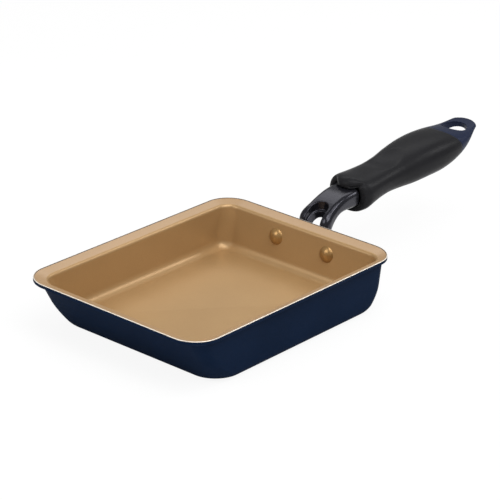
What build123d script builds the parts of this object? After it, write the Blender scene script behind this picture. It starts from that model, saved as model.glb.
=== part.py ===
from build123d import *
import os
from math import atan2, cos, hypot, pi, sin

# Frame: millimetres, +Z up, +X from the pan towards the handle.
# The origin is on the hob, under the middle of the pan's rim.

# Driving sizes of the pan
rim_length = 190.0
rim_width = 140.0
rim_corner = 18.0
rim_thick = 2.3
pan_height = 35.5
wall = 2.8
floor_thick = 4.2
lip_overhang = 4.8
lip_width = 8.0
lip_drop = 3.0
front_inset = 26.7
side_inset = 4.8
handle_inset = 9.2
wall_corner = 8.0
base_corner = 16.4
corner_share = 0.75
inner_corner = 9.0
base_round = 4.5
floor_round = 6.0
lip_inner_round = 1.2
lip_under_round = 1.4
rim_edge_round = 0.5

# Base plate, pressed into the underside
plate_length = 134.0
plate_width = 106.0
plate_corner = 9.0
plate_thick = 1.4
plate_proud = 0.5
plate_edge = 0.3
plate_gap = 0.1
perforation = 5.0
perforation_gap = 0.1
perforation_pitch = 16.0
perforation_margin = 8.0
boss_recess = 0.2

# Rivets and the arm's flange
rivet_spacing = 41.0
rivet_drop = 13.5
rivet_shank = 5.0
rivet_head = 10.8
rivet_dome = 2.7
rivet_tail = 8.4
rivet_tail_height = 1.9
rivet_gap = 0.05
flange_width = 58.0
flange_height = 18.0
flange_corner = 6.0
flange_thick = 4.0
flange_edge = 0.8
flange_drop = 1.2

# Arm: neck and tang
neck_run = 40.5
neck_rise = 32.0
neck_foot_width = 28.6
neck_width = 21.0
neck_top_round = 3.8
neck_under_round = 3.0
slot_width = 12.2
slot_reach = 18.4
ledge_width = 9.6
ledge_reach = 16.9
ledge_depth = 5.6
tang_length = 52.0
tang_width = 15.0
tang_thick = 8.0
tang_gap = 0.3
tang_root = 5.0

# Grip and tail piece
grip_length = 133.7
grip_width = 38.0
grip_thick = 25.2
grip_rise = 15.8
grip_square = 2.3
grip_wall = 3.2
mouth_depth = 11.0
tongue_reach = 4.6
tongue_width = 18.0
tongue_corner = 5.0
tongue_gap = 0.6
cap_length = 35.7
seam_bulge = 29.0
nose_reach = 12.2
nose_width = 26.4
hole_length = 15.8
hole_width = 17.4
hole_inset = 16.7
hole_flare = 5.0
spigot_length = 9.0
spigot_width = 20.0
spigot_thick = 11.0
spigot_corner = 3.0
spigot_gap = 0.2

# Tie screw
screw_size = 4.0
screw_gap = 0.2
thread_gap = 0.05
thread_depth = 16.0
screw_head = 7.6
screw_head_height = 2.8
socket_size = 2.5
socket_depth = 1.6
washer_size = 8.4
washer_thick = 0.8
seat_gap = 0.3
seat_depth = 5.0

# One overrun serves all cuts
over = 2.0

# Heights and reaches worked out from the sizes above
rim_top = plate_proud + pan_height
floor_top = plate_proud + floor_thick
rim_end = rim_length / 2
seam_reach = grip_length - cap_length
hole_reach = grip_length - hole_inset
wall_lean = atan2(handle_inset - lip_overhang, pan_height)
front_lean = atan2(front_inset - lip_overhang, pan_height)
side_lean = atan2(side_inset - lip_overhang, pan_height)
base_middle = (front_inset - handle_inset) / 2


def wall_inset(base_inset, z):
    """How far the outside of a wall lies inside the rim's edge at a height."""
    return lip_overhang + (base_inset - lip_overhang) * (rim_top - z) / pan_height


wall_out = Vector(cos(wall_lean), 0, -sin(wall_lean))
rivet_height = rim_top - rivet_drop
rivet_point = Vector(rim_end - wall_inset(handle_inset, rivet_height), 0, rivet_height)
flange_plane = Plane(origin=rivet_point, x_dir=(0, 1, 0), z_dir=wall_out)

# The neck starts on the wall and ends at the grip's mouth
neck_start = rim_end - lip_overhang
neck_foot = rivet_height - flange_height / 2
grip_mouth = neck_start + neck_run
mouth_middle = neck_foot + neck_rise
screw_level = mouth_middle + grip_rise / 2
hole_front = grip_mouth + hole_reach - hole_length / 2
seat_face = hole_front - seat_depth

# Shares of the neck's run and rise along its top and its underside
neck_top_shares = (
    (0.000, 0.309),
    (0.064, 0.453),
    (0.111, 0.559),
    (0.135, 0.641),
    (0.151, 0.734),
    (0.190, 0.822),
    (0.264, 0.900),
    (0.363, 0.966),
    (0.462, 1.028),
    (0.585, 1.087),
    (0.709, 1.131),
    (0.847, 1.156),
    (1.000, 1.169),
)
neck_under_shares = (
    (1.000, 0.816),
    (0.748, 0.818),
    (0.541, 0.784),
    (0.454, 0.724),
    (0.393, 0.666),
    (0.321, 0.575),
    (0.222, 0.391),
    (0.163, 0.259),
    (0.057, 0.062),
)
tongue_level = neck_foot + neck_rise * neck_top_shares[-1][1] + tongue_gap

# Shares of the neck's run and of its half width's growth from the grip to the foot
neck_plan_shares = (
    (0.000, 1.000),
    (0.150, 0.700),
    (0.320, 0.260),
    (0.560, 0.000),
    (1.000, 0.020),
)

# Shares of the grip's length, rise, half width and half thickness
grip_shares = (
    (-0.030, 0.000, 0.600, 0.900),
    (-0.005, 0.000, 0.690, 0.945),
    (0.016, 0.005, 0.800, 0.955),
    (0.046, 0.019, 0.879, 0.921),
    (0.097, 0.076, 0.858, 0.825),
    (0.165, 0.133, 0.811, 0.762),
    (0.239, 0.177, 0.784, 0.754),
    (0.329, 0.222, 0.816, 0.825),
    (0.426, 0.297, 0.900, 0.952),
    (0.531, 0.380, 0.974, 1.000),
    (0.636, 0.430, 1.000, 0.992),
    (0.740, 0.513, 0.958, 0.841),
    (0.838, 0.655, 0.840, 0.545),
    (0.927, 0.895, 0.630, 0.220),
    (1.008, 1.010, 0.480, 0.150),
)


def wall_outline(front, side, handle, radius, z):
    """A rounded rectangle, inset from the rim's outer edge."""
    length = rim_length - front - handle
    width = rim_width - 2 * side
    return Pos((front - handle) / 2, 0, z) * RectangleRounded(length, width, radius)


def rim_outline(inset, z):
    """The rim's outer edge seen from above, inset by a distance."""
    outline = RectangleRounded(rim_length - 2 * inset, rim_width - 2 * inset, rim_corner - inset)
    return Pos(0, 0, z) * outline


def lip_slope(inset):
    """How far the lip's top lies below its outer edge at an inset."""
    return lip_drop * inset / lip_width


def lip_form():
    """The turned-out lip, which slopes up towards its outer edge."""
    inner = lip_width + over
    under = rim_top - rim_thick
    block = loft([rim_outline(inner, under - lip_slope(inner)), rim_outline(0, under)], ruled=True)
    return block + extrude(rim_outline(0, under), rim_thick + lip_slope(over) / 2)


def mouth_form():
    """The space above the lip's sloping top."""
    inner = lip_width + 2 * over
    low = rim_outline(inner, rim_top - lip_slope(inner))
    high = rim_outline(-over, rim_top + lip_slope(over))
    return loft([low, high], ruled=True)


def outer_form():
    """The outside of the pan's walls: the corners widen towards the rounded base."""
    bend = rim_top - corner_share * pan_height
    insets = [wall_inset(inset, bend) for inset in (front_inset, side_inset, handle_inset)]
    top = wall_outline(lip_overhang, lip_overhang, lip_overhang, wall_corner, rim_top)
    base = wall_outline(front_inset, side_inset, handle_inset, base_corner, plate_proud)
    form = loft([base, wall_outline(*insets, wall_corner, bend), top], ruled=True)
    foot = form.faces().sort_by(Axis.Z)[0]
    return fillet(foot.edges(), base_round)


def inner_form():
    """The space inside the pan, down to its floor."""
    leans = (front_lean, side_lean, wall_lean)
    insets = (front_inset, side_inset, handle_inset)
    high = rim_top + over
    top = [wall_inset(i, high) + wall / cos(a) for i, a in zip(insets, leans)]
    low = [wall_inset(i, floor_top) + wall / cos(a) for i, a in zip(insets, leans)]
    form = loft(
        [wall_outline(*low, inner_corner, floor_top), wall_outline(*top, inner_corner, high)],
        ruled=True,
    )
    floor = form.faces().sort_by(Axis.Z)[0]
    return fillet(floor.edges(), floor_round)


def perforations():
    """Where the plate's holes lie."""
    count_x = int((plate_length - 2 * perforation_margin) / perforation_pitch) + 1
    count_y = int((plate_width - 2 * perforation_margin) / perforation_pitch) + 1
    return GridLocations(perforation_pitch, perforation_pitch, count_x, count_y)


def lip_edges(body, near, far):
    """The lip's edges whose middles lie between two insets from the rim."""
    found = []
    for edge in body.edges():
        middle = edge @ 0.5
        across = max(abs(middle.X) - rim_end + rim_corner, 0)
        along = max(abs(middle.Y) - rim_width / 2 + rim_corner, 0)
        inset = rim_corner - hypot(across, along)
        run = edge % 0.5
        level = abs(run.Z) < hypot(run.X, run.Y)
        if level and near <= inset <= far and middle.Z > rim_top - 2 * lip_drop - rim_thick:
            found.append(edge)
    return found


def make_pan_body():
    body = outer_form() + lip_form() - mouth_form()
    body = fillet(lip_edges(body, lip_overhang / 2, lip_overhang + wall / 2), lip_under_round)
    body -= inner_form()
    body = fillet(lip_edges(body, lip_overhang + wall / 2, lip_width + 2 * wall), lip_inner_round)
    body = fillet(lip_edges(body, -rim_thick, rim_edge_round), rim_edge_round)

    depth = plate_thick - plate_proud
    seat = Pos(base_middle, 0, 0) * RectangleRounded(
        plate_length + 2 * plate_gap, plate_width + 2 * plate_gap, plate_corner + plate_gap
    )
    body -= extrude(seat, plate_proud + depth)
    boss = Cylinder(
        perforation / 2 - perforation_gap,
        plate_thick - boss_recess,
        align=(Align.CENTER, Align.CENTER, Align.MIN),
    )
    body += [Pos(base_middle, 0, boss_recess) * place * boss for place in perforations()]
    bore = Cylinder(rivet_shank / 2 + rivet_gap, 4 * wall)
    for side in (-1, 1):
        body -= flange_plane * Pos(side * rivet_spacing / 2, 0, 0) * bore
    return body


def make_base_plate():
    outline = RectangleRounded(plate_length, plate_width, plate_corner)
    plate = extrude(Pos(base_middle, 0, 0) * outline, plate_thick)
    rest = plate.faces().sort_by(Axis.Z)[0]
    plate = chamfer(rest.outer_wire().edges(), plate_edge)
    hole = Cylinder(perforation / 2, 4 * plate_thick)
    return plate - [Pos(base_middle, 0, 0) * place * hole for place in perforations()]


def make_rivets():
    """A domed head inside the pan, a shank, and a flat head on the arm's flange."""
    head = rivet_head / 2
    ball = (head**2 + rivet_dome**2) / (2 * rivet_dome)
    dome = Pos(0, 0, -wall - rivet_dome + ball) * Sphere(ball)
    dome &= Pos(0, 0, -wall - rivet_dome / 2) * Box(rivet_head, rivet_head, rivet_dome)
    grip_run = wall + flange_thick
    shank = Pos(0, 0, -wall + grip_run / 2) * Cylinder(rivet_shank / 2, grip_run)
    tail = Pos(0, 0, flange_thick + rivet_tail_height / 2) * Cylinder(rivet_tail / 2, rivet_tail_height)
    tail = fillet(tail.edges().sort_by(Axis.Z)[-1], rivet_tail_height / 2)
    rivet = dome + shank + tail
    return [flange_plane * Pos(side * rivet_spacing / 2, 0, 0) * rivet for side in (-1, 1)]


def neck_point(run, rise):
    """A point of the neck's side view."""
    return (neck_start + run * neck_run, neck_foot + rise * neck_rise)


def neck_form():
    """The neck: its side view swept across, narrowed towards the grip and rounded."""
    top = [neck_point(*row) for row in neck_top_shares]
    under = [neck_point(*row) for row in neck_under_shares]
    border = Spline(*top) + Line(top[-1], under[0]) + Spline(*under) + Line(under[-1], top[0])
    block = extrude(Plane.XZ * make_face(border), neck_foot_width, both=True)
    growth = (neck_foot_width - neck_width) / 2
    cheek = [
        (neck_start + run * neck_run, neck_width / 2 + share * growth)
        for run, share in neck_plan_shares
    ]
    mirrored = [(x, -y) for x, y in cheek[::-1]]
    plan = Spline(*cheek) + Line(cheek[-1], mirrored[0]) + Spline(*mirrored) + Line(mirrored[-1], cheek[0])
    neck = block & extrude(make_face(plan), 2 * rim_top)
    for side in (0, -1):
        for bend, bend_round in ((-1, neck_top_round), (0, neck_under_round)):
            flank = neck.faces().sort_by(Axis.Y)[side]
            bends = flank.edges().filter_by(GeomType.BSPLINE).sort_by(SortBy.LENGTH)[-2:]
            neck = fillet(bends.sort_by(Axis.Z)[bend], bend_round)
    return neck


def slot_form(width, reach):
    """A slot through the neck, round at its end towards the grip."""
    near = neck_start + flange_thick
    middle = neck_start + reach - width / 2
    plan = Pos((near + middle) / 2, 0, 0) * Rectangle(middle - near, width)
    plan += Pos(middle, 0, 0) * Circle(width / 2)
    return extrude(plan, 2 * rim_top)


def ledge_zone():
    """The space above the slot's ledge, which runs below the neck's top."""
    ledge = [neck_point(*row) for row in neck_top_shares]
    ledge = [(x, z - ledge_depth) for x, z in ledge]
    high = 2 * rim_top
    border = Spline(*ledge) + Polyline(ledge[-1], (ledge[-1][0], high), (ledge[0][0], high), ledge[0])
    return extrude(Plane.XZ * make_face(border), slot_width, both=True)


def tang_form(gap):
    """The straight tang inside the grip, grown by a clearance."""
    slope = (screw_level - mouth_middle) / tang_length
    near = grip_mouth - tang_root
    far = grip_mouth + tang_length + gap
    low = mouth_middle - tang_thick / 2 - gap
    high = mouth_middle + tang_thick / 2 + gap
    side = Polygon(
        (near, low - slope * tang_root),
        (far, low + slope * tang_length),
        (far, high + slope * tang_length),
        (near, high - slope * tang_root),
        align=None,
    )
    return extrude(Plane.XZ * side, tang_width / 2 + gap, both=True)


def make_handle_arm():
    plate = Pos(0, -flange_drop, 0) * RectangleRounded(flange_width, flange_height, flange_corner)
    flange = extrude(flange_plane * plate, flange_thick)
    outer = flange.faces().sort_by(Axis.X)[-1]
    flange = chamfer(outer.edges(), flange_edge)
    neck = neck_form()
    arm = flange + neck - slot_form(ledge_width, ledge_reach)
    arm -= slot_form(slot_width, slot_reach) & ledge_zone()
    arm += tang_form(0)
    arm -= outer_form()
    bore = Cylinder(rivet_shank / 2 + rivet_gap, 4 * flange_thick)
    for side in (-1, 1):
        arm -= flange_plane * Pos(side * rivet_spacing / 2, 0, 0) * bore
    thread = Cylinder(screw_size / 2 + thread_gap, 2 * thread_depth, rotation=(0, 90, 0))
    return arm - Pos(grip_mouth + tang_length, 0, screw_level) * thread


def grip_section(reach, rise, width, thick, inset):
    """A rounded cross-section of the grip, between an ellipse and a box."""
    half_width = width * grip_width / 2 - inset
    half_thick = thick * grip_thick / 2 - inset
    points = []
    for step in range(16):
        turn = 2 * pi * step / 16
        across = abs(cos(turn)) ** (2 / grip_square) * (1 if cos(turn) >= 0 else -1)
        up = abs(sin(turn)) ** (2 / grip_square) * (1 if sin(turn) >= 0 else -1)
        points.append((half_width * across, half_thick * up))
    place = Plane(
        origin=(grip_mouth + reach * grip_length, 0, mouth_middle + rise * grip_rise),
        x_dir=(0, 1, 0),
        z_dir=(1, 0, 0),
    )
    return place * make_face(Spline(*points, periodic=True))


def handle_form():
    """The outside of the grip and the tail piece, as one form."""
    form = loft([grip_section(*row, 0) for row in grip_shares])
    nose_middle = grip_mouth + grip_length - nose_reach
    body_run = nose_middle - grip_mouth + 2 * tongue_reach
    outline = Pos(nose_middle - body_run / 2, 0, 0) * Rectangle(body_run, 2 * grip_width)
    outline += Pos(nose_middle, 0, 0) * Ellipse(nose_reach, nose_width / 2)
    return form & extrude(outline, 3 * rim_top)


def cap_zone():
    """The space that the tail piece takes of the handle: its front is a round bulge."""
    middle = grip_mouth + seam_reach + seam_bulge
    zone = Pos(middle, 0, 0) * Circle(seam_bulge)
    zone += Pos(middle + grip_length / 2, 0, 0) * Rectangle(grip_length, 2 * seam_bulge)
    return extrude(zone, 3 * rim_top)


def spigot(gap):
    """The tail piece's plug in the grip's end."""
    length = 2 * spigot_length + 2 * gap
    block = Box(length, spigot_width + 2 * gap, spigot_thick + 2 * gap)
    block = fillet(block.edges().filter_by(Axis.X), spigot_corner)
    return Pos(grip_mouth + seam_reach, 0, screw_level) * block


def make_grip(form):
    body_run = 2 * grip_length
    keep = Pos(grip_mouth + body_run / 2, 0, rim_top) * Box(body_run, 2 * grip_width, 2 * rim_top)
    tongue_run = 4 * tongue_reach
    plan = RectangleRounded(tongue_run, tongue_width, tongue_corner)
    tongue = extrude(Pos(grip_mouth - tongue_reach + tongue_run / 2, 0, tongue_level) * plan, grip_thick)
    grip = form & (keep + tongue)
    grip -= cap_zone()
    hollow = loft(
        [grip_section(*row, grip_wall) for row in grip_shares[:4]]
    ) & Pos(grip_mouth, 0, 0) * Box(2 * mouth_depth, grip_width, 4 * rim_top)
    high = Pos(grip_mouth, 0, tongue_level + grip_thick / 2) * Box(4 * mouth_depth, grip_width, grip_thick)
    grip -= hollow - high
    grip -= tang_form(tang_gap)
    grip -= spigot(spigot_gap)
    channel = Cylinder(screw_size / 2 + screw_gap, grip_length, rotation=(0, 90, 0))
    return grip - Pos(grip_mouth + tang_length + grip_length / 2, 0, screw_level) * channel


def make_end_cap(form):
    cap = form & cap_zone()
    hole_middle = grip_mouth + hole_reach
    low = Pos(hole_middle + hole_flare / 2, 0, rim_top + grip_rise / 2) * Ellipse(
        hole_length / 2 + hole_flare / 2, hole_width / 2
    )
    high = Pos(hole_middle, 0, rim_top + 2 * grip_rise) * Ellipse(hole_length / 2, hole_width / 2)
    cap -= loft([low, high], ruled=True)
    cap += spigot(0) - cap_zone()
    bore = Cylinder(screw_size / 2 + screw_gap, 4 * spigot_length, rotation=(0, 90, 0))
    seat = Cylinder(washer_size / 2 + seat_gap, 2 * seat_depth, rotation=(0, 90, 0))
    cap -= Pos(grip_mouth + seam_reach, 0, screw_level) * bore
    return cap - Pos(hole_front, 0, screw_level) * seat


def make_screw_washer():
    ring = Cylinder(washer_size / 2, washer_thick) - Cylinder(screw_size / 2 + screw_gap, 2 * washer_thick)
    return Pos(seat_face + washer_thick / 2, 0, screw_level) * (Rot(0, 90, 0) * ring)


def make_tie_screw():
    """A long screw with a round head and a hexagon socket."""
    under_head = seat_face + washer_thick
    length = under_head - (grip_mouth + tang_length - thread_depth + over)
    head = Pos(0, 0, screw_head_height / 2) * Cylinder(screw_head / 2, screw_head_height)
    head = fillet(head.edges().sort_by(Axis.Z)[-1], screw_head_height / 3)
    head -= extrude(
        Pos(0, 0, screw_head_height - socket_depth) * RegularPolygon(socket_size / 2, 6, major_radius=False),
        screw_head_height,
    )
    shank = Pos(0, 0, -length / 2) * Cylinder(screw_size / 2, length)
    return Pos(under_head, 0, screw_level) * (Rot(0, 90, 0) * (head + shank))


def export(name, shape):
    export_step(shape, os.path.join("parts", name + ".step"))


os.makedirs("parts", exist_ok=True)
export("pan_body", make_pan_body())
export("base_plate", make_base_plate())
export("rivets", Compound(children=make_rivets()))
export("handle_arm", make_handle_arm())
handle = handle_form()
export("grip", make_grip(handle))
export("end_cap", make_end_cap(handle))
export("screw_washer", make_screw_washer())
export("tie_screw", make_tie_screw())
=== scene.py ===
import math

import bmesh
import bpy
from mathutils import Matrix, Vector


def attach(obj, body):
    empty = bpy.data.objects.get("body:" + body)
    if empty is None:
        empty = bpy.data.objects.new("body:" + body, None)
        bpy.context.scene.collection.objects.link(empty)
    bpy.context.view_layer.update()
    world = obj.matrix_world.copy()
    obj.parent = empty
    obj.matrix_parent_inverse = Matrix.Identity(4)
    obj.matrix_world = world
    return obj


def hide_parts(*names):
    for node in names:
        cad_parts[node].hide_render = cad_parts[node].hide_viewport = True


MM = 0.001

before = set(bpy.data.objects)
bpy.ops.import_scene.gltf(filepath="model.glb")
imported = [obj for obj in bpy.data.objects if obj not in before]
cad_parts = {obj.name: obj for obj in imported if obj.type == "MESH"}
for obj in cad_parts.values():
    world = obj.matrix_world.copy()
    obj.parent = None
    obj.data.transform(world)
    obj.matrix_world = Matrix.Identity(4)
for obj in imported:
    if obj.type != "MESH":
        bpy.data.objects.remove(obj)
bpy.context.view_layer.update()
scene = bpy.context.scene
scene.view_settings.view_transform = "Standard"

# Sizes are in millimetres unless they say otherwise. The main ones are the CAD's own, and the rest are
# fine forms that only this script has.

# Pan
RIM_LENGTH = 190.0
RIM_WIDTH = 140.0
RIM_TOP = 36.0
RIM_CORNER = 18.0
RIM_THICK = 2.3
RIM_EDGE = 0.3
RIM_LAND = 0.6
LAND_STEP = 0.15
CREASE_ROUND = 0.06
BASE_LEVEL = 0.5
HEIGHT = 35.5
WALL = 2.8
FLOOR_TOP = 4.7
LIP = 4.8
LIP_STEEP = 3.0 / 8.0
WALL_CORNER = 8.0
BASE_CORNER = 20.5
CORNER_SHARE = 0.55
INNER_CORNER = 9.0
BASE_ROUND = 4.5
FLOOR_ROUND = 6.0
LIP_ROUND = 2.6
UNDER_ROUND = 1.4
FRONT_INSET = 26.7
SIDE_INSET = 4.8
HANDLE_INSET = 9.2

# How many points each bend of the wall's section has, and the rings where the corners widen
ROUND_STEPS = (9, 5, 3, 4, 2, 2, 7, 10)
CORNER_RINGS = 6

# Points round each corner of a ring, and along each of its sides
RING_TURNS = 14
RING_RUNS = 8

# Base plate's recess and the steel spots in it
PLATE_MIDDLE = 8.75
PLATE_LENGTH = 134.2
PLATE_WIDTH = 106.2
PLATE_CORNER = 9.1
PLATE_DEEP = 1.4
HOLE_PITCH = 16.0
HOLE_ROWS = (8, 6)
BOSS_RADIUS = 2.4
BOSS_LEVEL = 0.2
BOSS_SIDES = 20

# Grip
MOUTH = 130.7
GRIP_LENGTH = 133.7
GRIP_WIDTH = 38.0
GRIP_THICK = 25.2
GRIP_RISE = 15.8
GRIP_MIDDLE = 45.5
GRIP_SQUARE = 2.3
GRIP_WALL = 3.2
GRIP_SIDES = 192
GRIP_RINGS = 110

# The grip's shape: share of its length, of its rise, of its width and of its thickness
GRIP_ROWS = (
    (-0.045, 0.000, 0.600, 0.900),
    (0.000, 0.000, 0.705, 0.945),
    (0.010, 0.002, 0.765, 0.955),
    (0.024, 0.008, 0.835, 0.945),
    (0.046, 0.019, 0.879, 0.921),
    (0.097, 0.076, 0.858, 0.825),
    (0.165, 0.133, 0.811, 0.762),
    (0.239, 0.177, 0.784, 0.754),
    (0.329, 0.222, 0.816, 0.825),
    (0.426, 0.297, 0.900, 0.952),
    (0.531, 0.380, 0.974, 1.000),
    (0.636, 0.430, 1.000, 0.992),
    (0.740, 0.513, 0.958, 0.841),
    (0.838, 0.655, 0.840, 0.545),
    (0.927, 0.895, 0.630, 0.220),
    (1.008, 1.010, 0.480, 0.150),
)

# The hollow of the grip's mouth, and its front edge as (behind the edge, taken off the wall)
MOUTH_DEPTH = 11.0
MOUTH_TAPER = 0.6
MOUTH_STRAIGHT = 1.5
MOUTH_EDGE = ((0.5, 0.0), (0.15, 0.15), (0.0, 0.5))

# The grip's round front, and how much deeper and longer the round is on the tongue
FRONT_ROUND = 1.3
FRONT_STEPS = 10
FRONT_LIMIT = 5.0
COLLAR_SLANT = 1.0

# The tongue over the arm, with a small notch at each side
TONGUE_LEVEL = 51.5
TONGUE_HALF = 9.5
TONGUE_ROOT = 131.3
TONGUE_REACH = 5.2
TONGUE_SQUARE = 2.5
TONGUE_DEEPER = 2.6
TONGUE_LONGER = 4.2
TONGUE_LIFT = 0.3
TONGUE_SPREAD = 3.5
TONGUE_FADE = 5.0
NOTCH_DEPTH = 0.7
NOTCH_PLACE = 1.09
NOTCH_WIDTH = 0.07

# The seam to the tail piece, and the grip's end there as (inset, further along)
SEAM = 98.0
SEAM_BULGE = 29.0
SEAM_GAP = 0.25
SEAM_TRIES = 6
SEAM_EDGE = ((0.35, 0.2), (1.2, 0.25), (6.0, 0.25))

# The thumb rest
DISH_MIDDLE = 169.0
DISH_LENGTH = 18.5
DISH_WIDTH = 9.8
DISH_DEPTH = 2.3
DISH_EDGE = 0.12

# Softened edges of the arm and the tail piece
SOFT_FACTOR = 0.5
SOFT_VOXEL = 0.3
SOFT_WELD = 0.001
ARM_PASSES = 3
TAIL_PASSES = 4

# How the materials drift: the noises' scale and detail, the places of the two tones, how far the gloss
# goes either way, and the grain's height in metres
BLOTCH_SCALE = 25.0
BLOTCH_DETAIL = 4.0
GRAIN_DETAIL = 3.0
LOW_TONE = 0.35
HIGH_TONE = 0.65
GLOSS_DRIFT = 0.05
GRAIN_HEIGHT = 0.0002


# Colours and materials
def srgb(red, green, blue):
    """A colour written as 0 to 255, turned into Blender's linear values."""

    def linear(value):
        value /= 255
        return value / 12.92 if value <= 0.04045 else ((value + 0.055) / 1.055) ** 2.4

    return (linear(red), linear(green), linear(blue), 1.0)


def noise(nodes, scale, detail):
    """A noise texture node of a scale and a detail."""
    made = nodes.new("ShaderNodeTexNoise")
    made.inputs["Scale"].default_value = scale
    made.inputs["Detail"].default_value = detail
    return made


def material(name, low, high, rough, metal=0.0, shine=0.5, grain=900.0, bump=0.02):
    """A surface whose colour drifts between two tones, with a fine grain in its bump and its gloss."""
    made = bpy.data.materials.new(name)
    made.use_nodes = True
    nodes = made.node_tree.nodes
    link = made.node_tree.links.new
    shader = nodes["Principled BSDF"]
    shader.inputs["Metallic"].default_value = metal
    shader.inputs["Specular IOR Level"].default_value = shine
    place = nodes.new("ShaderNodeTexCoord")
    wide = noise(nodes, BLOTCH_SCALE, BLOTCH_DETAIL)
    fine = noise(nodes, grain, GRAIN_DETAIL)
    link(place.outputs["Object"], wide.inputs["Vector"])
    link(place.outputs["Object"], fine.inputs["Vector"])
    both = nodes.new("ShaderNodeMath")
    both.operation = "MULTIPLY_ADD"
    both.inputs[1].default_value = 0.5
    link(fine.outputs["Fac"], both.inputs[0])
    half = nodes.new("ShaderNodeMath")
    half.operation = "MULTIPLY"
    half.inputs[1].default_value = 0.5
    link(wide.outputs["Fac"], half.inputs[0])
    link(half.outputs[0], both.inputs[2])
    tones = nodes.new("ShaderNodeValToRGB")
    tones.color_ramp.elements[0].position = LOW_TONE
    tones.color_ramp.elements[0].color = low
    tones.color_ramp.elements[1].position = HIGH_TONE
    tones.color_ramp.elements[1].color = high
    link(both.outputs[0], tones.inputs["Fac"])
    link(tones.outputs["Color"], shader.inputs["Base Color"])
    gloss = nodes.new("ShaderNodeMapRange")
    gloss.inputs["To Min"].default_value = rough - GLOSS_DRIFT
    gloss.inputs["To Max"].default_value = rough + GLOSS_DRIFT
    link(both.outputs[0], gloss.inputs["Value"])
    link(gloss.outputs["Result"], shader.inputs["Roughness"])
    relief = nodes.new("ShaderNodeBump")
    relief.inputs["Strength"].default_value = bump
    relief.inputs["Distance"].default_value = GRAIN_HEIGHT
    link(fine.outputs["Fac"], relief.inputs["Height"])
    link(relief.outputs["Normal"], shader.inputs["Normal"])
    return made


NAVY = material(
    "navy_enamel", srgb(13, 26, 46), srgb(17, 31, 53), rough=0.48, shine=0.012, grain=1400, bump=0.10
)
TAN = material(
    "gold_lining", srgb(167, 134, 91), srgb(174, 141, 97), rough=0.38, metal=0.35, grain=1800, bump=0.05
)
# The lip: its higher gloss is real, and its base tone, a little whiter than the lining's, is a painted sheen
LIP_PAINTED_SHEEN = material(
    "gold_lip_painted_sheen", srgb(162, 131, 94), srgb(169, 137, 100), rough=0.35, shine=0.7, grain=1800, bump=0.05
)
# Painted highlight: the band on the rim's upper edge is painted near-white cream to stand for the bright line
# of light along it
RIM_HIGHLIGHT = material("rim_painted_highlight", srgb(226, 214, 198), srgb(238, 228, 214), rough=0.30, metal=0.4)
PLATE = material(
    "base_steel", srgb(140, 140, 142), srgb(170, 170, 172), rough=0.35, metal=1.0, grain=600, bump=0.08
)
BRASS = material(
    "rivet_gold", srgb(150, 114, 68), srgb(166, 130, 80), rough=0.30, metal=0.55, grain=1500, bump=0.05
)
GUNMETAL = material(
    "arm_coat", srgb(42, 42, 48), srgb(51, 51, 58), rough=0.18, metal=0.7, grain=2600, bump=0.20
)
BLACK = material(
    "grip_black", srgb(29, 29, 31), srgb(35, 35, 37), rough=0.32, shine=0.055, grain=2600, bump=0.18
)
TAIL = material(
    "tail_navy", srgb(22, 29, 49), srgb(27, 35, 58), rough=0.40, shine=0.12, grain=1800, bump=0.08
)
STEEL = material("screw_steel", srgb(150, 150, 155), srgb(180, 180, 184), rough=0.3, metal=1.0)


# Mesh helpers
def finish_piece(name, mesh, materials, nodes, sharp):
    """Links a finished mesh as a piece that stands for CAD nodes."""
    mesh.shade_smooth()
    mesh.set_sharp_from_angle(angle=math.radians(sharp))
    for each in materials:
        mesh.materials.append(each)
    piece = bpy.data.objects.new(name, mesh)
    scene.collection.objects.link(piece)
    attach(piece, "root")
    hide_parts(*nodes)


def band_faces(form, rings, slots):
    """Adds quads between neighbouring rings and returns the rings' vertices."""
    rows = [[form.verts.new([c * MM for c in point]) for point in ring] for ring in rings]
    for low, high, slot in zip(rows, rows[1:], slots):
        for j in range(len(low)):
            k = (j + 1) % len(low)
            face = form.faces.new((low[j], low[k], high[k], high[j]))
            face.material_index = slot
    return rows


def cap_face(form, ring, slot):
    """Closes a ring with one face."""
    face = form.faces.new(ring)
    face.material_index = slot


def mesh_of(form, name):
    """Turns a form into a mesh with its faces all outward."""
    bmesh.ops.recalc_face_normals(form, faces=form.faces)
    mesh = bpy.data.meshes.new(name)
    form.to_mesh(mesh)
    form.free()
    return mesh


# The pan
NAVY_SLOT, TAN_SLOT, PLATE_SLOT, RIM_HIGHLIGHT_SLOT, LIP_PAINTED_SHEEN_SLOT = range(5)

# Three of the eight bends in a wall's section, counted from the base over the rim to the floor: the
# one under the lip, the rim's upper edge, and the foot of the small step inside the rim's land
UNDER_BEND = 1
HIGH_EDGE = 3
STEP_BEND = 5


def bent_line(points, rounds, steps):
    """A bent line's points in a side view, each corner rounded: (outward, up, corner's number)."""
    rows = []
    for k, (radius, count) in enumerate(zip(rounds, steps)):
        corner = Vector(points[k + 1])
        back = (Vector(points[k]) - corner).normalized()
        ahead = (Vector(points[k + 2]) - corner).normalized()
        half = back.angle(ahead) / 2
        middle = corner + (back + ahead).normalized() * radius / math.sin(half)
        first = corner + back * radius / math.tan(half) - middle
        last = corner + ahead * radius / math.tan(half) - middle
        sweep = math.pi - 2 * half
        if first.x * last.y - first.y * last.x < 0:
            sweep = -sweep
        start = math.atan2(first.y, first.x)
        for j in range(count + 1):
            turn = start + sweep * j / count
            rows.append((middle.x + radius * math.cos(turn), middle.y + radius * math.sin(turn), k))
    return rows


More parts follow.
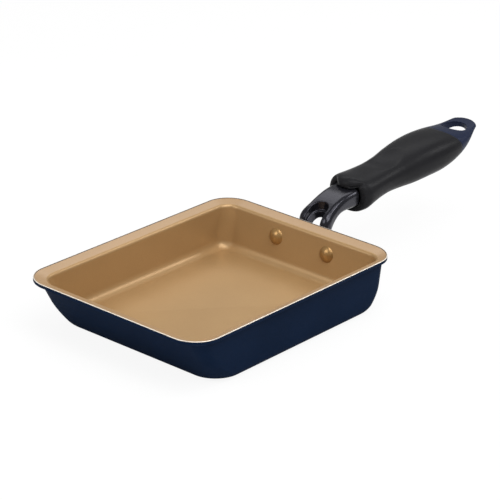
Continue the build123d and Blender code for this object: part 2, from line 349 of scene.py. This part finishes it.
def pan_profile(inset):
    """One wall's section from under the base over the lip to the floor: (outward, up, radius, bend)."""
    slant = (inset - LIP) / HEIGHT
    thick = WALL * math.sqrt(1 + slant**2)

    def outside(z):
        return -LIP - slant * (RIM_TOP - z)

    under = -(LIP + slant * RIM_THICK) / (1 - slant * LIP_STEEP)
    edge = -(LIP + thick) / (1 - slant * LIP_STEEP)
    low = RIM_TOP - RIM_THICK
    step = -RIM_LAND - LAND_STEP
    floor = outside(FLOOR_TOP) - thick
    points = (
        (-inset - RIM_TOP, BASE_LEVEL),
        (-inset, BASE_LEVEL),
        (under, low + LIP_STEEP * under),
        (0, low),
        (0, RIM_TOP),
        (-RIM_LAND, RIM_TOP),
        (step, RIM_TOP + LIP_STEEP * step),
        (edge, RIM_TOP + LIP_STEEP * edge),
        (floor, FLOOR_TOP),
        (floor - RIM_TOP, FLOOR_TOP),
    )
    rounds = (BASE_ROUND, UNDER_ROUND, RIM_EDGE, RIM_EDGE, CREASE_ROUND, CREASE_ROUND, LIP_ROUND, FLOOR_ROUND)
    line = bent_line(points, rounds, ROUND_STEPS)

    # More rings on the outer wall, where the corners widen towards the base
    bend = RIM_TOP - CORNER_SHARE * HEIGHT
    after = ROUND_STEPS[0] + 1
    foot = line[after - 1][1]
    heights = [foot + (bend - foot) * k / CORNER_RINGS for k in range(1, CORNER_RINGS + 1)]
    line[after:after] = [(outside(z), z, UNDER_BEND) for z in heights]

    rows = []
    for out, up, part in line:
        if part <= UNDER_BEND:
            share = max((bend - up) / (bend - BASE_LEVEL), 0) ** 2
            radius = WALL_CORNER + (BASE_CORNER - WALL_CORNER) * share + out - outside(up)
        elif part <= STEP_BEND:
            radius = RIM_CORNER + out
        else:
            radius = INNER_CORNER + out - outside(up) + thick
        rows.append((out, up, radius, part))
    return rows


def rounded_ring(centres, radius, levels):
    """A ring round four corners' centres, that goes from one wall's level to the next in each corner."""
    points = []
    for i, (x, y) in enumerate(centres):
        before = levels[i]
        after = levels[(i + 1) % 4]
        for j in range(RING_TURNS + 1):
            turn = math.pi / 2 * (i + j / RING_TURNS)
            height = before + (after - before) * j / RING_TURNS
            points.append((x + radius * math.cos(turn), y + radius * math.sin(turn), height))
        next_x, next_y = centres[(i + 1) % 4]
        start = points[-1]
        stop = (next_x + radius * math.cos(turn), next_y + radius * math.sin(turn), after)
        for j in range(1, RING_RUNS):
            points.append(tuple(a + (b - a) * j / RING_RUNS for a, b in zip(start, stop)))
    return points


def pan_ring(front, side, handle):
    """A ring round the pan, with its own reach and height on each wall."""
    radius = side[2]
    far = RIM_LENGTH / 2 + handle[0] - radius
    near = -RIM_LENGTH / 2 - front[0] + radius
    half = RIM_WIDTH / 2 + side[0] - radius
    centres = ((far, half), (near, half), (near, -half), (far, -half))
    return rounded_ring(centres, radius, (handle[1], side[1], front[1], side[1]))


def plate_ring(level):
    """A ring of the same count round the base plate's recess."""
    far = PLATE_MIDDLE + PLATE_LENGTH / 2 - PLATE_CORNER
    near = PLATE_MIDDLE - PLATE_LENGTH / 2 + PLATE_CORNER
    half = PLATE_WIDTH / 2 - PLATE_CORNER
    centres = ((far, half), (near, half), (near, -half), (far, -half))
    return rounded_ring(centres, PLATE_CORNER, (level,) * 4)


def band_slot(before, after):
    """The material between two rings of the section, from the bends that they belong to."""
    # The band on the rim's upper edge takes the near-white painted highlight
    if before == HIGH_EDGE:
        return RIM_HIGHLIGHT_SLOT
    # The lip's land takes the lining gold with a painted sheen
    if before == STEP_BEND < after:
        return LIP_PAINTED_SHEEN_SLOT
    return TAN_SLOT if after > STEP_BEND else NAVY_SLOT


def add_boss(form, x, y):
    """A steel spot that shows in one of the base plate's holes."""
    turns = [2 * math.pi * k / BOSS_SIDES for k in range(BOSS_SIDES)]
    rings = []
    for level in (PLATE_DEEP, BOSS_LEVEL):
        rings.append([(x + BOSS_RADIUS * math.cos(t), y + BOSS_RADIUS * math.sin(t), level) for t in turns])
    for ring in band_faces(form, rings, [PLATE_SLOT]):
        cap_face(form, ring, PLATE_SLOT)


def make_pan():
    """The pan's shell in one closed mesh, with the base plate's spots."""
    form = bmesh.new()
    profiles = [pan_profile(inset) for inset in (FRONT_INSET, SIDE_INSET, HANDLE_INSET)]
    parts = [row[3] for row in profiles[0]]
    rings = [plate_ring(PLATE_DEEP), plate_ring(BASE_LEVEL)]
    rings += [pan_ring(*rows) for rows in zip(*profiles)]
    slots = [PLATE_SLOT, NAVY_SLOT]
    slots += [band_slot(before, after) for before, after in zip(parts, parts[1:])]
    rows = band_faces(form, rings, slots)
    cap_face(form, rows[0], PLATE_SLOT)
    cap_face(form, rows[-1], TAN_SLOT)
    for i in range(HOLE_ROWS[0]):
        for j in range(HOLE_ROWS[1]):
            x = PLATE_MIDDLE + (i - (HOLE_ROWS[0] - 1) / 2) * HOLE_PITCH
            y = (j - (HOLE_ROWS[1] - 1) / 2) * HOLE_PITCH
            add_boss(form, x, y)
    return mesh_of(form, "pan")


finish_piece("pan_shell", make_pan(), (NAVY, TAN, PLATE, RIM_HIGHLIGHT, LIP_PAINTED_SHEEN), ["pan_body"], sharp=35)


# The grip
def smooth_value(column, reach):
    """A table column's value at a reach, on a smooth curve through the rows."""
    rows = GRIP_ROWS
    i = 0
    while i < len(rows) - 2 and reach > rows[i + 1][0]:
        i += 1

    def slope(k):
        before = rows[max(k - 1, 0)]
        after = rows[min(k + 1, len(rows) - 1)]
        return (after[column] - before[column]) / (after[0] - before[0])

    span = rows[i + 1][0] - rows[i][0]
    t = (reach - rows[i][0]) / span
    a, b = rows[i][column], rows[i + 1][column]
    return (
        a * (2 * t**3 - 3 * t**2 + 1)
        + slope(i) * span * (t**3 - 2 * t**2 + t)
        + b * (3 * t**2 - 2 * t**3)
        + slope(i + 1) * span * (t**3 - t**2)
    )


def smooth_step(value):
    """A smooth change from nothing to one, as a value goes from nothing to one."""
    t = min(max(value, 0), 1)
    return t * t * (3 - 2 * t)


def grip_point(x, turn, inset=0.0):
    """A point of the grip's surface at a place along it and an angle round it."""
    reach = (x - MOUTH) / GRIP_LENGTH
    middle = GRIP_MIDDLE + smooth_value(1, reach) * GRIP_RISE
    half_width = smooth_value(2, reach) * GRIP_WIDTH / 2 - inset
    half_thick = smooth_value(3, reach) * GRIP_THICK / 2 - inset
    across = math.copysign(abs(math.cos(turn)) ** (2 / GRIP_SQUARE), math.cos(turn))
    up = math.copysign(abs(math.sin(turn)) ** (2 / GRIP_SQUARE), math.sin(turn))
    return [x, half_width * across, middle + half_thick * up]


def seam_reach(y):
    """Where the round seam lies at a distance from the handle's middle."""
    return MOUTH + SEAM + SEAM_BULGE - math.sqrt(max(SEAM_BULGE**2 - y * y, 0))


def seam_place(turn):
    """Where the grip's surface ends at the seam, at an angle round it."""
    x = MOUTH + SEAM
    for _ in range(SEAM_TRIES):
        x = seam_reach(grip_point(x, turn)[1])
    return x - SEAM_GAP


def tongue_share(turn):
    """One on the tongue over the arm, nothing far from it, and a smooth change between."""
    if math.sin(turn) <= 0:
        return 0.0
    y = abs(grip_point(TONGUE_ROOT, turn)[1])
    return smooth_step((TONGUE_HALF + TONGUE_SPREAD - y) / TONGUE_FADE)


def mouth_reach(turn):
    """Where the grip's front edge lies at an angle round it: a round tongue, a notch, then the collar."""
    y = abs(grip_point(TONGUE_ROOT, turn)[1]) / TONGUE_HALF
    if math.sin(turn) > 0 and y < 1:
        return TONGUE_ROOT - TONGUE_REACH * (1 - y**TONGUE_SQUARE) ** (1 / TONGUE_SQUARE)
    if math.sin(turn) > 0:
        return TONGUE_ROOT + NOTCH_DEPTH * math.exp(-(((y - NOTCH_PLACE) / NOTCH_WIDTH) ** 2))
    return TONGUE_ROOT + COLLAR_SLANT * math.sin(turn) ** 2


def dish_depth(x, y):
    """The shallow oval thumb rest on the grip's top."""
    u = 1 - ((x - DISH_MIDDLE) / DISH_LENGTH) ** 2 - (y / DISH_WIDTH) ** 2
    if u <= 0:
        return 0.0
    rise = u * u / (2 * DISH_EDGE) if u < DISH_EDGE else u - DISH_EDGE / 2
    return DISH_DEPTH * rise * smooth_step((x - DISH_MIDDLE + DISH_LENGTH) / DISH_LENGTH)


def hollow_rings(turns):
    """The hollow of the mouth, from its back wall to its front edge."""

    def inner(turn, x, inset):
        point = grip_point(max(x, MOUTH), turn, inset)
        return [x, point[1], min(point[2], TONGUE_LEVEL)]

    rings = [
        [inner(t, MOUTH + MOUTH_DEPTH, GRIP_WALL + MOUTH_TAPER) for t in turns],
        [inner(t, MOUTH + MOUTH_STRAIGHT, GRIP_WALL) for t in turns],
    ]
    for behind, thinner in MOUTH_EDGE:
        rings.append([inner(t, mouth_reach(t) + behind, GRIP_WALL - thinner) for t in turns])
    for point, turn in zip(rings[-1], turns):
        point[2] += TONGUE_LIFT * tongue_share(turn)
    return rings


def front_rings(turns):
    """The front edge rounds over, much more on the tongue."""
    rings = []
    for step in range(FRONT_STEPS + 1):
        angle = math.pi / 2 * (1 - step / FRONT_STEPS)
        ring = []
        for turn in turns:
            share = tongue_share(turn)
            deep = FRONT_ROUND + TONGUE_DEEPER * share
            reach = FRONT_ROUND + TONGUE_LONGER * share
            x = mouth_reach(turn) + reach * (1 - math.sin(angle))
            point = grip_point(max(x, MOUTH - FRONT_LIMIT), turn, deep * (1 - math.cos(angle)))
            ring.append([x, point[1], point[2]])
        rings.append(ring)
    return rings


def outer_rings(turns, starts):
    """The outer surface, ending on the curved seam."""
    stops = [seam_place(turn) for turn in turns]
    rings = []
    for step in range(1, GRIP_RINGS + 1):
        ring = []
        for turn, start, stop in zip(turns, starts, stops):
            point = grip_point(start + (stop - start) * step / GRIP_RINGS, turn)
            if math.sin(turn) > 0:
                point[2] -= dish_depth(point[0], point[1])
            ring.append(point)
        rings.append(ring)
    for inset, along in SEAM_EDGE:
        rings.append([grip_point(stop + along, turn, inset) for turn, stop in zip(turns, stops)])
    return rings


def make_grip():
    """The grip in one closed mesh, from the back of its mouth round to the seam."""
    turns = [2 * math.pi * (i + 0.5) / GRIP_SIDES for i in range(GRIP_SIDES)]
    rings = hollow_rings(turns) + front_rings(turns)
    rings += outer_rings(turns, [point[0] for point in rings[-1]])
    form = bmesh.new()
    rows = band_faces(form, rings, [0] * (len(rings) - 1))
    cap_face(form, rows[0], 0)
    cap_face(form, rows[-1], 0)
    return mesh_of(form, "grip")


finish_piece("grip_skin", make_grip(), (BLACK,), ["grip"], sharp=60)


# The arm and the tail piece: the CAD's forms with softened edges
def softened(node, passes):
    """A copy of a CAD node's mesh, remeshed in small voxels and smoothed."""
    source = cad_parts[node].data
    form = bmesh.new()
    form.from_mesh(source)
    bmesh.ops.remove_doubles(form, verts=form.verts, dist=SOFT_WELD * MM)
    mesh = bpy.data.meshes.new(node + "_soft")
    form.to_mesh(mesh)
    form.free()
    mesh.materials.clear()
    draft = bpy.data.objects.new(node + "_draft", mesh)
    scene.collection.objects.link(draft)
    remesh = draft.modifiers.new("voxels", "REMESH")
    remesh.mode = "VOXEL"
    remesh.voxel_size = SOFT_VOXEL * MM
    smooth = draft.modifiers.new("edges", "SMOOTH")
    smooth.factor = SOFT_FACTOR
    smooth.iterations = passes
    graph = bpy.context.evaluated_depsgraph_get()
    result = bpy.data.meshes.new_from_object(draft.evaluated_get(graph))
    bpy.data.objects.remove(draft)
    return result


arm_mesh = softened("handle_arm", ARM_PASSES)
finish_piece("arm_casting", arm_mesh, (GUNMETAL,), ["handle_arm"], sharp=180)
tail_mesh = softened("end_cap", TAIL_PASSES)
finish_piece("tail_piece", tail_mesh, (TAIL,), ["end_cap"], sharp=180)


# The other nodes keep the CAD's meshes
CARRIED_OVER = {"base_plate": PLATE, "rivets": BRASS, "tie_screw": STEEL, "screw_washer": STEEL}

for node, made in CARRIED_OVER.items():
    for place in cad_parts[node].material_slots:
        place.material = made


# Camera: the lens in the photo's pixels, the view's angles in radians, what it clips in metres, and
# the rim's middle as the camera sees it, in millimetres to the right, up and away
FOCAL_PX = 2404.67
IMAGE_PX = 500
SENSOR_MM = 36.0
AZIMUTH = 0.6802252
ELEVATION = 0.4038835
ROLL = 0.0430304
CLIP_RANGE = (0.05, 30)
RIM_SEEN_AT = (-22.24223, -8.89429, 1460.38422)


def make_camera():
    """The camera at the photo's place and angle."""
    level = math.cos(ELEVATION)
    ahead = Vector((math.cos(AZIMUTH) * level, math.sin(AZIMUTH) * level, -math.sin(ELEVATION)))
    right = Vector((math.sin(AZIMUTH), -math.cos(AZIMUTH), 0))
    up = right.cross(ahead)
    across = math.cos(ROLL) * right + math.sin(ROLL) * up
    above = -math.sin(ROLL) * right + math.cos(ROLL) * up
    seen = across * RIM_SEEN_AT[0] + above * RIM_SEEN_AT[1] + ahead * RIM_SEEN_AT[2]
    place = Vector((0, 0, RIM_TOP)) - seen
    lens = bpy.data.cameras.new("photo_view")
    lens.sensor_fit = "HORIZONTAL"
    lens.sensor_width = SENSOR_MM
    lens.lens = FOCAL_PX / IMAGE_PX * SENSOR_MM
    lens.clip_start, lens.clip_end = CLIP_RANGE
    camera = bpy.data.objects.new("photo_view", lens)
    basis = Matrix((across, above, -ahead)).transposed().to_4x4()
    camera.matrix_world = Matrix.Translation(place * MM) @ basis
    scene.collection.objects.link(camera)
    scene.camera = camera


make_camera()


# Floor, world and lamps, in metres and watts
FLOOR_SIDE = 6.0
FLOOR_GREY = 0.9
FLOOR_GLOW = 0.9
WORLD_LIGHT = 0.32

# Each lamp's name, place, aim, size and power
LAMPS = (
    ("top_box", (-0.14, -0.26, 1.28), (0.05, 0, 0), (0.7, 0.7), 7.2),
    ("back_box", (0.85, 0.70, 1.20), (0.05, 0, 0.03), (1.5, 0.6), 5.5),
    ("left_box", (-1.00, 0.35, 0.80), (0.05, 0, 0.03), (0.7, 0.6), 5.5),
    ("right_box", (-0.10, -0.90, 1.00), (0.05, 0, 0.03), (0.9, 0.5), 6.5),
    ("right_glint", (1.00, -0.50, 0.75), (0.12, 0, 0.04), (0.4, 0.3), 2.5),
    ("edge_glint", (0.39, -0.55, 1.08), (0.14, 0, 0.05), (0.22, 0.22), 1.4),
)


def paper_white():
    """Matte white under the pan that glows for the camera alone, so that it keeps only the shadow."""
    white = bpy.data.materials.new("paper_white")
    white.use_nodes = True
    nodes = white.node_tree.nodes
    link = white.node_tree.links.new
    nodes.clear()
    matte = nodes.new("ShaderNodeBsdfDiffuse")
    matte.inputs["Color"].default_value = (FLOOR_GREY, FLOOR_GREY, FLOOR_GREY, 1)
    glow = nodes.new("ShaderNodeEmission")
    glow.inputs["Strength"].default_value = 1.0
    ray = nodes.new("ShaderNodeLightPath")
    share = nodes.new("ShaderNodeMath")
    share.operation = "MULTIPLY"
    share.inputs[1].default_value = FLOOR_GLOW
    mix = nodes.new("ShaderNodeMixShader")
    out = nodes.new("ShaderNodeOutputMaterial")
    link(ray.outputs["Is Camera Ray"], share.inputs[0])
    link(share.outputs[0], mix.inputs["Fac"])
    link(matte.outputs[0], mix.inputs[1])
    link(glow.outputs[0], mix.inputs[2])
    link(mix.outputs[0], out.inputs["Surface"])
    return white


def make_floor():
    """A wide flat floor under the pan."""
    mesh = bpy.data.meshes.new("floor")
    side = FLOOR_SIDE
    corners = [(-side, -side, 0), (side, -side, 0), (side, side, 0), (-side, side, 0)]
    mesh.from_pydata(corners, [], [(0, 1, 2, 3)])
    mesh.materials.append(paper_white())
    floor = bpy.data.objects.new("floor", mesh)
    scene.collection.objects.link(floor)


def make_world():
    """Soft light from all round, and plain white for the camera."""
    world = bpy.data.worlds.new("studio")
    scene.world = world
    world.use_nodes = True
    nodes = world.node_tree.nodes
    link = world.node_tree.links.new
    nodes.clear()
    soft = nodes.new("ShaderNodeBackground")
    soft.inputs["Strength"].default_value = WORLD_LIGHT
    white = nodes.new("ShaderNodeBackground")
    white.inputs["Strength"].default_value = 1.0
    ray = nodes.new("ShaderNodeLightPath")
    mix = nodes.new("ShaderNodeMixShader")
    out = nodes.new("ShaderNodeOutputWorld")
    for each in (soft, white):
        each.inputs["Color"].default_value = (1, 1, 1, 1)
    link(ray.outputs["Is Camera Ray"], mix.inputs["Fac"])
    link(soft.outputs[0], mix.inputs[1])
    link(white.outputs[0], mix.inputs[2])
    link(mix.outputs[0], out.inputs["Surface"])


def make_lamp(name, place, target, size, power):
    """A flat lamp that faces a point."""
    light = bpy.data.lights.new(name, "AREA")
    light.shape = "RECTANGLE"
    light.size, light.size_y = size
    light.energy = power
    lamp = bpy.data.objects.new(name, light)
    lamp.location = place
    aim = Vector(target) - Vector(place)
    lamp.rotation_euler = aim.to_track_quat("-Z", "Y").to_euler()
    scene.collection.objects.link(lamp)


make_floor()
make_world()
for lamp_row in LAMPS:
    make_lamp(*lamp_row)
